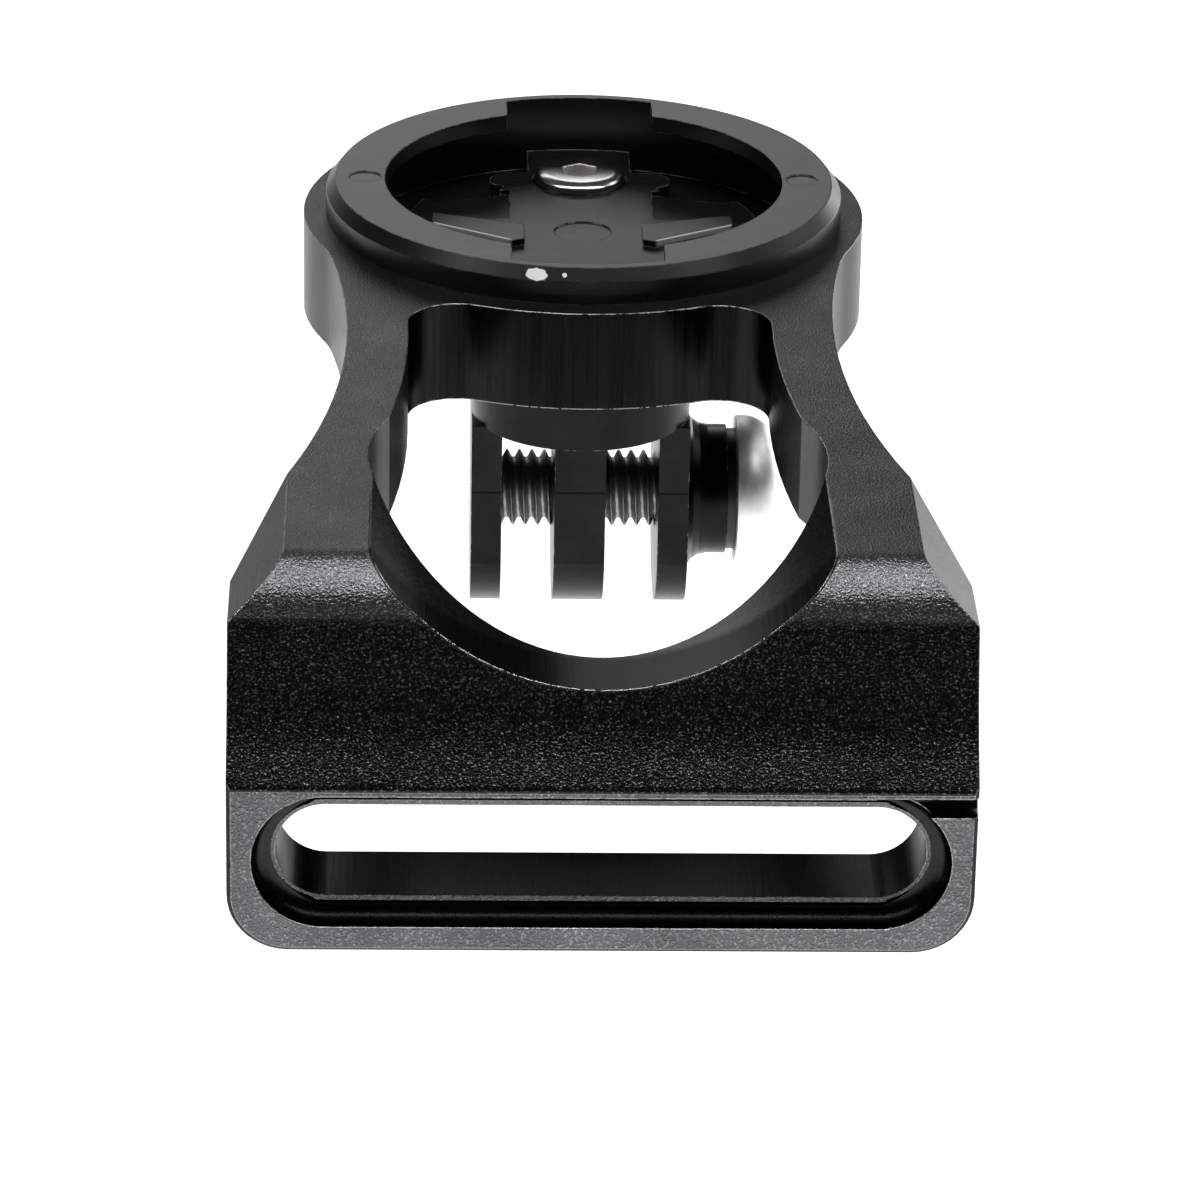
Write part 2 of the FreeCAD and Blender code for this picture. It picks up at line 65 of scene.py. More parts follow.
right, down, forward = camera_axes(camera_tilt, camera_yaw, camera_roll)
turn = Matrix((right, -down, -forward)).transposed().to_4x4()
camera = bpy.data.objects.new("camera", bpy.data.cameras.new("camera"))
camera.matrix_world = Matrix.Translation(camera_target - forward * camera_distance) @ turn
camera.data.sensor_width = 36
camera.data.lens = focal_pixels / picture_width * camera.data.sensor_width
camera.data.clip_start = 0.01
bpy.context.collection.objects.link(camera)
bpy.context.scene.camera = camera
bpy.context.scene.view_settings.view_transform = "Standard"

# Studio. A pale paper floor lies well below the mount. A narrow softbox hangs over it,
# a wide dim one stands behind it, one stands low at each side behind it, and a small one
# stands high at the right.

floor_height = -0.13
floor_half = 3.0
room_light = 0.03
paper_tone = 0.85
paper_glow = 0.93
white = (1, 1, 1, 1)


def linked(tree, socket, value):
    """Feeds a socket from another socket, or sets it to a plain value."""
    if isinstance(value, bpy.types.NodeSocket):
        tree.links.new(value, socket)
    else:
        socket.default_value = value


def node_of(tree, kind, **values):
    """A new shader node of one kind, its sockets or properties fed or set by name."""
    node = tree.nodes.new(kind)
    for name, value in values.items():
        label = name.replace("_", " ")
        if label in node.inputs:
            linked(tree, node.inputs[label], value)
        else:
            setattr(node, name, value)
    return node


def worked(tree, operation, *terms):
    """The result of a math node whose terms are sockets or plain numbers."""
    node = node_of(tree, "ShaderNodeMath", operation=operation)
    for socket, term in zip(node.inputs, terms):
        linked(tree, socket, term)
    return node.outputs[0]


def softbox(name, place, aim, width, height, radiance):
    """A rectangular lamp that looks from place to aim and shows the given brightness."""
    lamp = bpy.data.lights.new(name, "AREA")
    lamp.shape = "RECTANGLE"
    lamp.size = width
    lamp.size_y = height
    lamp.energy = radiance * math.pi * width * height
    holder = bpy.data.objects.new(name, lamp)
    holder.location = place
    holder.rotation_euler = (Vector(aim) - Vector(place)).to_track_quat("-Z", "Y").to_euler()
    holder.visible_camera = False
    bpy.context.collection.objects.link(holder)


softbox("softbox_over", (0, -0.1, 0.49), (0, -0.03, 0), width=0.9, height=0.11, radiance=9.5)
softbox("softbox_behind", (-0.25, 0.84, 0.37), (0, 0, 0), width=0.8, height=0.3, radiance=1.75)
softbox("softbox_right", (0.72, 0.86, 0.0), (0, 0, 0), width=0.5, height=0.25, radiance=4.0)
softbox("softbox_left", (-0.72, 0.86, 0.0), (0, 0, 0), width=0.5, height=0.25, radiance=0.4)
softbox("softbox_high", (0.45, 0.22, 0.32), (0, -0.02, 0), width=0.3, height=0.3, radiance=1.4)

world = bpy.data.worlds.new("studio")
world.use_nodes = True
bpy.context.scene.world = world
tree = world.node_tree
tree.nodes.clear()
path = node_of(tree, "ShaderNodeLightPath")
direct = worked(tree, "MAXIMUM", path.outputs["Is Camera Ray"], path.outputs["Is Transmission Ray"])
dim = node_of(tree, "ShaderNodeBackground", Color=white, Strength=room_light)
shown = node_of(tree, "ShaderNodeBackground", Color=white, Strength=1.0)
chosen = node_of(tree, "ShaderNodeMixShader", Fac=direct)
linked(tree, chosen.inputs[1], dim.outputs[0])
linked(tree, chosen.inputs[2], shown.outputs[0])
node_of(tree, "ShaderNodeOutputWorld", Surface=chosen.outputs[0])

paper = bpy.data.materials.new("floor_paper")
paper.use_nodes = True
tree = paper.node_tree
tree.nodes.clear()
path = node_of(tree, "ShaderNodeLightPath")
direct = worked(tree, "MAXIMUM", path.outputs["Is Camera Ray"], path.outputs["Is Glossy Ray"])
direct = worked(tree, "MAXIMUM", direct, path.outputs["Is Transmission Ray"])
matt = node_of(tree, "ShaderNodeBsdfDiffuse", Color=(paper_tone, paper_tone, paper_tone, 1))
glow = node_of(tree, "ShaderNodeEmission", Color=white, Strength=paper_glow)
both = node_of(tree, "ShaderNodeAddShader")
linked(tree, both.inputs[0], matt.outputs[0])
linked(tree, both.inputs[1], glow.outputs[0])
chosen = node_of(tree, "ShaderNodeMixShader", Fac=direct)
linked(tree, chosen.inputs[1], matt.outputs[0])
linked(tree, chosen.inputs[2], both.outputs[0])
node_of(tree, "ShaderNodeOutputMaterial", Surface=chosen.outputs[0])
floor_mesh = bpy.data.meshes.new("floor")
signs = ((-1, -1), (1, -1), (1, 1), (-1, 1))
floor_corners = [(x * floor_half, y * floor_half, floor_height) for x, y in signs]
floor_mesh.from_pydata(floor_corners, [], [(0, 1, 2, 3)])
floor_mesh.materials.append(paper)
floor = bpy.data.objects.new("floor", floor_mesh)
bpy.context.collection.objects.link(floor)

# Bracket. One piece of aluminium, blasted with beads and anodised black. Its window, slot
# and scallop are cut afterwards, so their walls are smooth, with faint cutter marks.

bracket_tone = 0.13
bracket_grain = 0.14 * mm
bracket_edge = 0.14 * mm
bare_metal = (0.6, 0.6, 0.6, 1)
blasted_rough = 0.33
wall_rough = 0.22

# Painted shade on each kind of cut wall, as a share of the blasted tone: darkest in the window, then the
# slot, lighter in the lobe and outside.
window_painted_shade = 0.03
lobe_painted_shade = 0.6
slot_painted_shade = 0.15
outer_painted_shade = 0.68

# The scallop's cylinder, and the places where one finish passes into the next.
scallop_radius = 15.66 * mm
scallop_axis_height = 8.99 * mm
scallop_back = -45.0 * mm
head_outside = 16.7 * mm
head_front = -14.0 * mm
window_half = 13.4 * mm
window_back = -10.0 * mm
window_front = -28.0 * mm
lobe_back = -22.0 * mm
bend_back = -50.0 * mm
bend_foot = -3.4 * mm
tongue_back = -52.0 * mm
tongue_top = -11.4 * mm
tongue_lip = -57.0 * mm
slot_foot = -18.0 * mm


def times(tree, *factors):
    """The product of two or more values."""
    product = factors[0]
    for factor in factors[1:]:
        product = worked(tree, "MULTIPLY", product, factor)
    return product


def less(tree, first, second):
    """The first value less the second."""
    return worked(tree, "SUBTRACT", first, second)


def away_from(tree, across, up):
    """The distance from an axis, worked out from its two parts."""
    return worked(tree, "SQRT", worked(tree, "ADD", times(tree, across, across), times(tree, up, up)))


def smooth_step(tree, value, start, end):
    """0 before start, 1 after end, and a soft rise between."""
    node = node_of(tree, "ShaderNodeMapRange", interpolation_type="SMOOTHSTEP", Value=value)
    linked(tree, node.inputs["From Min"], start)
    linked(tree, node.inputs["From Max"], end)
    return node.outputs[0]


def between(tree, value, low, high, soft):
    """1 where a value lies between low and high, falling to 0 over soft outside them."""
    above = smooth_step(tree, value, low - soft, low)
    below = smooth_step(tree, value, high + soft, high)
    return times(tree, above, below)


def scaled(tree, vector, factors):
    """A position stretched by a factor, or by one factor for each axis."""
    if not hasattr(factors, "__len__") and not isinstance(factors, bpy.types.NodeSocket):
        factors = (factors, factors, factors)
    node = node_of(tree, "ShaderNodeVectorMath", operation="MULTIPLY")
    linked(tree, node.inputs[0], vector)
    linked(tree, node.inputs[1], factors)
    return node.outputs[0]


def noise_of(tree, vector, detail=2.0, roughness=0.5):
    """Cloud-like values around 0.5 at a position whose unit is the size of a cloud."""
    node = node_of(tree, "ShaderNodeTexNoise", Vector=vector, Scale=1.0, Detail=detail)
    node.inputs["Roughness"].default_value = roughness
    return node.outputs["Fac"]


def group_of(name, inputs, outputs):
    """A new node group with named inputs and outputs, and its two end nodes."""
    group = bpy.data.node_groups.new(name, "ShaderNodeTree")
    for label, value in inputs.items():
        kind = "NodeSocketVector" if hasattr(value, "__len__") else "NodeSocketFloat"
        socket = group.interface.new_socket(label, in_out="INPUT", socket_type=kind)
        socket.default_value = value
    for label, kind in outputs.items():
        group.interface.new_socket(label, in_out="OUTPUT", socket_type=kind)
    return group, group.nodes.new("NodeGroupInput").outputs, group.nodes.new("NodeGroupOutput").inputs


def placed(tree, group, **values):
    """A group put in a material, its inputs fed or set by name; gives its outputs."""
    node = node_of(tree, "ShaderNodeGroup", node_tree=group)
    for name, value in values.items():
        linked(tree, node.inputs[name], value)
    return node.outputs


# Rounded edges: the normal is averaged over a small radius, and the edge value rises
# where that normal leaves the flat one.
soft_edges, given, given_out = group_of(
    "soft_edges", {"Radius": 0.0001}, {"Normal": "NodeSocketVector", "Edge": "NodeSocketFloat"}
)
rounded = node_of(soft_edges, "ShaderNodeBevel", Radius=given["Radius"], samples=6)
plain = node_of(soft_edges, "ShaderNodeNewGeometry")
spread = node_of(soft_edges, "ShaderNodeVectorMath", operation="DOT_PRODUCT")
linked(soft_edges, spread.inputs[0], rounded.outputs[0])
linked(soft_edges, spread.inputs[1], plain.outputs["Normal"])
linked(soft_edges, given_out["Normal"], rounded.outputs[0])
linked(soft_edges, given_out["Edge"], smooth_step(soft_edges, spread.outputs["Value"], 0.99, 0.86))

# Bead grain: fine noise for the height, and its rare peaks for painted glints in the colour.
bead_grain_and_glints, given, given_out = group_of(
    "bead_grain_and_glints",
    {"Position": (0, 0, 0), "Fineness": 5000.0},
    {"Height": "NodeSocketFloat", "Glint": "NodeSocketFloat"},
)
spot = node_of(bead_grain_and_glints, "ShaderNodeVectorMath", operation="SCALE", Scale=given["Fineness"])
linked(bead_grain_and_glints, spot.inputs[0], given["Position"])
fine = noise_of(bead_grain_and_glints, spot.outputs[0], detail=1.5, roughness=0.6)
linked(bead_grain_and_glints, given_out["Height"], fine)
linked(bead_grain_and_glints, given_out["Glint"], smooth_step(bead_grain_and_glints, fine, 0.52, 0.74))

# Cutter marks: noise drawn out along the way the cutter or the tool went.
cutter_marks, given, given_out = group_of(
    "cutter_marks",
    {"Position": (0, 0, 0), "Fineness": (4000, 4000, 200)},
    {"Height": "NodeSocketFloat"},
)
marks = noise_of(cutter_marks, scaled(cutter_marks, given["Position"], given["Fineness"]), detail=3.0)
linked(cutter_marks, given_out["Height"], marks)

# Worn spots: an edge value broken up by noise, so the wear comes and goes.
worn_spots, given, given_out = group_of(
    "worn_spots",
    {"Position": (0, 0, 0), "Fineness": 1500.0, "Edge": 0.0, "Cover": 0.5},
    {"Worn": "NodeSocketFloat"},
)
spot = node_of(worn_spots, "ShaderNodeVectorMath", operation="SCALE", Scale=given["Fineness"])
linked(worn_spots, spot.inputs[0], given["Position"])
broken = noise_of(worn_spots, spot.outputs[0], detail=3.0, roughness=0.65)
start = less(worn_spots, 0.75, times(worn_spots, given["Cover"], 0.5))
end = worked(worn_spots, "ADD", start, 0.06)
spots = smooth_step(worn_spots, broken, start, end)
linked(worn_spots, given_out["Worn"], times(worn_spots, spots, given["Edge"]))

# Patches: slow noise between two values, for the uneven tone of a real finish.
patches, given, given_out = group_of(
    "patches",
    {"Position": (0, 0, 0), "Fineness": 150.0, "Low": 0.9, "High": 1.1},
    {"Value": "NodeSocketFloat"},
)
spot = node_of(patches, "ShaderNodeVectorMath", operation="SCALE", Scale=given["Fineness"])
linked(patches, spot.inputs[0], given["Position"])
slow = node_of(patches, "ShaderNodeMapRange", Value=noise_of(patches, spot.outputs[0], detail=3.0))
linked(patches, slow.inputs["From Min"], 0.3)
linked(patches, slow.inputs["From Max"], 0.7)
linked(patches, slow.inputs["To Min"], given["Low"])
linked(patches, slow.inputs["To Max"], given["High"])
linked(patches, given_out["Value"], slow.outputs[0])


def new_finish(name, colour, metallic, roughness):
    """A material with one Principled shader; gives it, its tree, shader and coordinates."""
    material = bpy.data.materials.new(name)
    material.use_nodes = True
    tree = material.node_tree
    shader = tree.nodes["Principled BSDF"]
    shader.inputs["Base Color"].default_value = (*colour, 1)
    shader.inputs["Metallic"].default_value = metallic
    shader.inputs["Roughness"].default_value = roughness
    place = node_of(tree, "ShaderNodeTexCoord").outputs
    return material, tree, shader, place


def parts_of(tree, vector):
    """The three parts of a vector socket."""
    return node_of(tree, "ShaderNodeSeparateXYZ", Vector=vector).outputs


def toned(tree, colour, factor):
    """A plain colour times a factor that changes over the surface."""
    node = node_of(tree, "ShaderNodeVectorMath", operation="SCALE", Scale=factor)
    node.inputs[0].default_value = colour
    return node.outputs[0]


def mixed(tree, factor, first, second):
    """A colour between two, by a factor that changes over the surface."""
    node = node_of(tree, "ShaderNodeMix", data_type="RGBA")
    linked(tree, node.inputs[0], factor)
    linked(tree, node.inputs[6], first)
    linked(tree, node.inputs[7], second)
    return node.outputs[2]


def blended(tree, factor, first, second):
    """A value between two, by a factor that changes over the surface."""
    node = node_of(tree, "ShaderNodeMix", data_type="FLOAT")
    linked(tree, node.inputs[0], factor)
    linked(tree, node.inputs[2], first)
    linked(tree, node.inputs[3], second)
    return node.outputs[0]


def dented(tree, height, distance, normal):
    """A normal bent by a height, full height being the given distance."""
    node = node_of(tree, "ShaderNodeBump", Height=height, Distance=distance, Normal=normal)
    return node.outputs[0]


def put_on(piece, material):
    """Gives every material slot of a piece one material."""
    if not piece.data.materials:
        piece.data.materials.append(material)
    for index in range(len(piece.data.materials)):
        piece.data.materials[index] = material


def blasted_faces(tree, place, normal):
    """1 on the blasted arm tops, bend, sweep and tongue front, 0 on the walls cut later."""
    x, y, z = place
    nx, ny, nz = normal
    straight = smooth_step(tree, worked(tree, "ABSOLUTE", nx), 0.06, 0.02)
    above = smooth_step(tree, z, tongue_top - 0.3 * mm, tongue_top)
    outside = worked(tree, "MAXIMUM", above, smooth_step(tree, ny, -0.95, -0.99))
    from_axis = away_from(tree, x, less(tree, z, scallop_axis_height))
    from_cut = worked(tree, "ABSOLUTE", less(tree, from_axis, scallop_radius))
    off_scallop = smooth_step(tree, from_cut, 0.04 * mm, 0.12 * mm)
    behind = smooth_step(tree, y, scallop_back - 1 * mm, scallop_back)
    off_scallop = worked(tree, "MAXIMUM", off_scallop, behind)
    steep = smooth_step(tree, y, bend_back, bend_back - 0.5 * mm)
    upper = worked(tree, "MAXIMUM", smooth_step(tree, nz, 0.3, 0.5), steep)
    return times(tree, straight, outside, off_scallop, upper)


def painted_wall_shade(tree, place, normal, marks, slot_side):
    """Painted shade on a cut wall: dark in window and slot, lighter in the lobe and outside."""
    x, y = place["X"], place["Y"]
    past_head = smooth_step(tree, away_from(tree, x, y), head_outside, head_outside + 0.2 * mm)
    around_head = times(tree, past_head, smooth_step(tree, y, head_front, head_front + 2 * mm))
    outward = smooth_step(tree, times(tree, normal["X"], x), 1 * mm, 3 * mm)
    in_window = times(
        tree,
        smooth_step(tree, y, window_back + 1 * mm, window_back),
        smooth_step(tree, y, window_front - 2 * mm, window_front),
        smooth_step(tree, worked(tree, "ABSOLUTE", x), window_half + 0.6 * mm, window_half),
    )
    off_lip = smooth_step(tree, y, tongue_lip - 1 * mm, tongue_lip)
    outer = worked(tree, "MAXIMUM", outward, around_head)
    outer = times(tree, outer, less(tree, 1.0, in_window), off_lip)
    lobe = smooth_step(tree, y, lobe_back, lobe_back - 12 * mm)
    inner = blended(tree, slot_side, blended(tree, lobe, window_painted_shade, lobe_painted_shade), slot_painted_shade)
    ribs = blended(tree, less(tree, lobe, slot_side), 0.16, 0.05)
    return worked(tree, "ADD", blended(tree, outer, inner, outer_painted_shade), times(tree, marks, ribs))


def bracket_finish():
    """Blasted grain and painted glints, cutter marks, painted shade on the walls and bend foot, bright worn
    edges.
    """
    colour = (bracket_tone, bracket_tone * 1.01, bracket_tone * 1.04)
    material, tree, shader, place = new_finish("bracket_anodised", colour, 1.0, 0.4)
    shader.inputs["Specular Tint"].default_value = bare_metal
    spot = parts_of(tree, place["Object"])
    lean = parts_of(tree, place["Normal"])
    y, z = spot["Y"], spot["Z"]
    ny, nz = lean["Y"], lean["Z"]
    edge = placed(tree, soft_edges, Radius=bracket_edge)
    grain_and_glints = placed(tree, bead_grain_and_glints, Position=place["Object"], Fineness=1 / bracket_grain)
    upright = placed(tree, cutter_marks, Position=place["Object"], Fineness=(3500, 3500, 90))
    through = placed(tree, cutter_marks, Position=place["Object"], Fineness=(3500, 90, 3500))
    fog = placed(tree, patches, Position=place["Object"], Fineness=260.0, Low=0.88, High=1.12)

    blasted = blasted_faces(tree, spot, lean)
    walls = less(tree, 1.0, blasted)
    bend = times(tree, smooth_step(tree, nz, 0.99, 0.9), smooth_step(tree, ny, -0.99, -0.95))
    coarse = worked(tree, "MAXIMUM", bend, smooth_step(tree, ny, -0.95, -0.99))
    strong = times(tree, blasted, worked(tree, "ADD", 0.65, times(tree, coarse, 0.35)))
    slot_side = smooth_step(tree, y, tongue_back, tongue_back - 1 * mm)
    marks = blended(tree, slot_side, upright["Height"], through["Height"])

    # Painted shade: below the bend's highlight band the blasted tone is darkened to about a seventh.
    painted_bend_shade = times(tree, smooth_step(tree, z, bend_foot + 1.1 * mm, bend_foot), bend, blasted)
    ground_with_painted_shade = less(tree, 1.0, times(tree, painted_bend_shade, 0.86))
    # Painted glints: the grain's peaks lighten the blasted tone.
    tone = worked(tree, "ADD", ground_with_painted_shade, times(tree, grain_and_glints["Glint"], strong, 1.35))
    # Painted shade: each cut wall is darkened by where it stands and which way it faces.
    shade = painted_wall_shade(tree, spot, lean, marks, slot_side)
    tone = times(tree, fog["Value"], tone, blended(tree, walls, 1.0, shade))

    at_foot = smooth_step(tree, z, slot_foot, slot_foot - 0.4 * mm)
    mouth = times(tree, at_foot, smooth_step(tree, y, tongue_lip, tongue_lip - 0.6 * mm))
    cover = worked(tree, "ADD", 0.68, times(tree, mouth, 0.5))
    worn = placed(
        tree, worn_spots, Position=place["Object"], Fineness=2200.0, Edge=edge["Edge"], Cover=cover
    )
    coat = mixed(tree, times(tree, worn["Worn"], 0.9), toned(tree, colour, tone), bare_metal)
    linked(tree, shader.inputs["Base Color"], coat)

    wall_gloss = worked(tree, "ADD", wall_rough, times(tree, marks, 0.12))
    linked(tree, shader.inputs["Roughness"], blended(tree, blasted, wall_gloss, blasted_rough))

    on_bend = times(tree, blasted, smooth_step(tree, y, bend_back, bend_back - 1 * mm))
    fall = times(tree, smooth_step(tree, z, 0.0, bend_foot), on_bend)
    skin = dented(tree, fall, 0.9 * mm, edge["Normal"])
    skin = dented(tree, times(tree, marks, walls), 0.006 * mm, skin)
    skin = dented(tree, times(tree, grain_and_glints["Height"], strong), 0.07 * mm, skin)
    linked(tree, shader.inputs["Normal"], skin)
    return material


put_on(nodes["bracket"], bracket_finish())

# Twist-lock insert. A moulded ring of black plastic with a satin top. Its sharp upper
# edges are rubbed light, and two small ragged patches in the front bevel are white.

insert_tone = 0.006
insert_edge = 0.13 * mm
pale_edge_tone = (0.45, 0.45, 0.45, 1)
white_patches = (((-3.15, -15.6, 1.72), (0.62, 0.9, 0.42)), ((-1.49, -15.86, 1.78), (0.14, 0.4, 0.12)))
ramp_corner = (4.45 * mm, -2.65 * mm)
ramp_course = (0.859, 0.512)
ramp_ends = (4.7 * mm, 9.2 * mm)
ramp_heights = (-1.3 * mm, -0.95 * mm)
pin_place = (4.0 * mm, 8.2 * mm)
pin_radii = (0.88 * mm, 0.95 * mm)


def white_patch_value(tree, position, middle, size):
    """1 inside a ragged ellipsoid around a point in millimetres, 0 outside it."""
    away = node_of(tree, "ShaderNodeVectorMath", operation="SUBTRACT")
    linked(tree, away.inputs[0], position)
    away.inputs[1].default_value = [value * mm for value in middle]
    span = node_of(tree, "ShaderNodeVectorMath", operation="LENGTH")
    linked(tree, span.inputs[0], scaled(tree, away.outputs[0], [1 / (value * mm) for value in size]))
    ragged = times(tree, noise_of(tree, scaled(tree, position, 1500.0), detail=3.0), 1.3)
    return smooth_step(tree, worked(tree, "ADD", span.outputs["Value"], ragged), 1.62, 1.5)


def pale_ramp_edge(tree, x, y, z):
    """1 along the straight front edge of either ramp on the insert's floor, 0 elsewhere."""
    side = worked(tree, "ABSOLUTE", x)
    beside = times(tree, less(tree, side, ramp_corner[0]), ramp_course[1])
    ahead = times(tree, less(tree, y, ramp_corner[1]), ramp_course[0])
    line = between(tree, less(tree, beside, ahead), -0.14 * mm, 0.02 * mm, 0.05 * mm)
    ends = between(tree, side, *ramp_ends, 0.3 * mm)
    return times(tree, line, ends, between(tree, z, *ramp_heights, 0.05 * mm))


def pin_marks(tree, x, y, z):
    """1 on the thin circles that two ejector pins left on the insert's floor."""
    side = less(tree, worked(tree, "ABSOLUTE", x), pin_place[0])
    away = away_from(tree, side, less(tree, y, pin_place[1]))
    ring = between(tree, away, *pin_radii, 0.04 * mm)
    return times(tree, ring, smooth_step(tree, z, -0.9 * mm, -1.0 * mm))


def insert_finish():
    """Black plastic with a faint flow pattern, fine scratches, rubbed edges, pale ramp edges and white
    patches.
    """
    colour = (insert_tone, insert_tone, insert_tone * 1.05)
    material, tree, shader, place = new_finish("insert_plastic", colour, 0.0, 0.36)
    shader.inputs["IOR"].default_value = 1.4
    x, y, z = parts_of(tree, place["Object"])
    edge = placed(tree, soft_edges, Radius=insert_edge)
    fog = placed(tree, patches, Position=place["Object"], Fineness=220.0, Low=0.8, High=1.3)
    scratch = placed(tree, cutter_marks, Position=place["Object"], Fineness=(300, 2500, 300))
    grain_and_glints = placed(tree, bead_grain_and_glints, Position=place["Object"], Fineness=6500.0)
    worn = placed(tree, worn_spots, Position=place["Object"], Fineness=900.0, Edge=edge["Edge"], Cover=0.55)

    # A pale line along the straight front edge of each ramp.
    ramp_line = times(tree, pale_ramp_edge(tree, x, y, z), 0.9)
    pale_edges = worked(tree, "MAXIMUM", times(tree, worn["Worn"], 0.35), ramp_line)
    # Two small ragged patches in the front bevel are white.
    pale = white_patch_value(tree, place["Object"], *white_patches[0])
    pale = worked(tree, "MAXIMUM", pale, white_patch_value(tree, place["Object"], *white_patches[1]))
    coat = mixed(tree, pale_edges, toned(tree, colour, fog["Value"]), pale_edge_tone)
    linked(tree, shader.inputs["Base Color"], mixed(tree, pale, coat, white))

    rough = worked(tree, "ADD", 0.3, times(tree, scratch["Height"], 0.06))
    linked(tree, shader.inputs["Roughness"], rough)
    handled = smooth_step(tree, z, -1.2 * mm, -0.4 * mm)
    shine = worked(tree, "ADD", 0.28, times(tree, handled, 0.24))
    linked(tree, shader.inputs["Specular IOR Level"], shine)

    skin = dented(tree, less(tree, 1.0, pin_marks(tree, x, y, z)), 0.05 * mm, edge["Normal"])
    fine = worked(tree, "ADD", times(tree, grain_and_glints["Height"], 0.5), times(tree, scratch["Height"], 0.03))
    linked(tree, shader.inputs["Normal"], dented(tree, fine, 0.008 * mm, skin))
    return material


put_on(nodes["twist_lock_insert"], insert_finish())

# Insert screw. A stainless M3 screw with a low round head and a hexagonal socket. It
# stands upright in the insert's floor and holds the insert on the head.

insert_screw_seat = (0, 9.4, -2.0)
insert_screw_steel = (0.85, 0.84, 0.82)
m3_pitch = 0.5
screw_sides = 72
rows_in_pitch = 12
thread_depth = 0.61


def steel_finish(name, tone, rough, marks, thread_end=None):
    """Bright steel with fine turned rings, darker in the thread, which ends at a given X."""
    material, tree, shader, place = new_finish(name, tone, 1.0, rough)
    edge = placed(tree, soft_edges, Radius=0.08 * mm)
    fog = placed(tree, patches, Position=place["Object"], Fineness=900.0, Low=0.85, High=1.05)
    turned = placed(tree, cutter_marks, Position=place["Object"], Fineness=marks)
    shade = fog["Value"]
    if thread_end is not None:
        along = parts_of(tree, place["Object"])["X"]
        head = smooth_step(tree, along, thread_end * mm, thread_end * mm + 0.1 * mm)
        shade = times(tree, shade, worked(tree, "ADD", 0.45, times(tree, head, 0.55)))
    linked(tree, shader.inputs["Base Color"], toned(tree, tone, shade))
    uneven = worked(tree, "ADD", rough - 0.06, times(tree, turned["Height"], 0.12))
    linked(tree, shader.inputs["Roughness"], uneven)
    linked(tree, shader.inputs["Normal"], dented(tree, turned["Height"], 0.004 * mm, edge["Normal"]))
    return material


def screw_skin(name, tip, thread, head, socket, radius, pitch, turn_to_axis, seat):
    """A screw as one closed skin of rows around its axis, from the tip up to the socket.

    Each row has a height and a radius. In the thread the radius drops from the crest by
    thread_depth * pitch * clip((|2f - 1| - 1/8) / (5/8), 0, 1), where f is the fraction of
    height / pitch - angle / turn, which fades out over one pitch at the upper end. A socket
    row's radius is apothem / cos(angle from the middle of the hexagon's side)."""
    around = np.arange(screw_sides) * 2 * np.pi / screw_sides
    heights = np.linspace(*thread, int((thread[1] - thread[0]) / pitch * rows_in_pitch))
    rows = [(z, r, 0, 0) for z, r in tip]
    rows += [(z, radius, 1, 0) for z in heights]
    rows += [(z, r, 0, 0) for z, r in head]
    rows += [(z, r, 0, 1) for z, r in socket]
    height, reach, cut, sixth = np.array(rows).T[:, :, None]
    fraction = np.mod(height / pitch - around / (2 * np.pi), 1)
    ridge = np.clip((np.abs(2 * fraction - 1) - 0.125) / 0.625, 0, 1)
    fade = np.clip((thread[1] - height) / pitch, 0, 1) * np.clip((height - thread[0]) / pitch + 0.4, 0, 1)
    side = np.mod(around + np.pi / 6, np.pi / 3) - np.pi / 6
    bow = reach * (1 - sixth) + reach * sixth / np.cos(side) - cut * ridge * fade * pitch * thread_depth
    grid = np.stack([bow * np.cos(around), bow * np.sin(around), height + 0 * around], axis=2)
    ends = [[[0, 0, rows[0][0]]], [[0, 0, rows[-1][0]]]]
    points = np.concatenate([grid.reshape(-1, 3), *ends]) @ np.array(turn_to_axis, float).T + seat
    index = np.arange(grid.shape[0] * screw_sides).reshape(grid.shape[:2])
    beside = np.roll(index, -1, axis=1)
    quads = np.stack([index[:-1], beside[:-1], beside[1:], index[1:]], axis=2).reshape(-1, 4)
    low, high = len(points) - 2, len(points) - 1
    first = np.stack([beside[0], index[0], np.full(screw_sides, low)], axis=1)
    last = np.stack([index[-1], beside[-1], np.full(screw_sides, high)], axis=1)
    mesh = bpy.data.meshes.new(name)
    mesh.from_pydata((points * mm).tolist(), [], quads.tolist() + first.tolist() + last.tolist())
    mesh.polygons.foreach_set("use_smooth", [True] * len(mesh.polygons))
    mesh.set_sharp_from_angle(angle=math.radians(32))
    piece = bpy.data.objects.new(name, mesh)
    bpy.context.collection.objects.link(piece)
    return piece


def dome(rim, top, start, end, rows=10):
    """Heights and radii of a quarter ellipse from the rim's radius up to the flat top's."""
    turn = np.linspace(0, np.pi / 2, rows)
    heights = start + (end - start) * np.sin(turn)
    return list(zip(heights, top + (rim - top) * np.cos(turn)))


insert_screw = screw_skin(
    "insert_screw_m3",
    tip=[(-4.0, 1.15)],
    thread=(-3.8, -0.2),
    head=[(0, 1.45), (0, 2.85), *dome(2.9, 2.1, 0.85, 1.26)],
    socket=[(1.26, 1.12), (1.2, 1.05), (0.36, 1.05), (0.3, 0.7)],
    radius=1.45,
    pitch=m3_pitch,
    turn_to_axis=np.eye(3),
    seat=insert_screw_seat,
)
put_on(insert_screw, steel_finish("insert_screw_steel", insert_screw_steel, 0.2, (1500, 1500, 6000)))
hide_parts("insert_screw_rear")
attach(insert_screw, "mount")

# Camera adapter. A turned and milled post with three prongs, anodised black. It is
# screwed up against the head from below.

adapter_tone = 0.017
adapter_edge = 0.12 * mm
prong_bare = (0.5, 0.5, 0.5, 1)
crease_height = -18.0 * mm
crease_back = -2.8 * mm


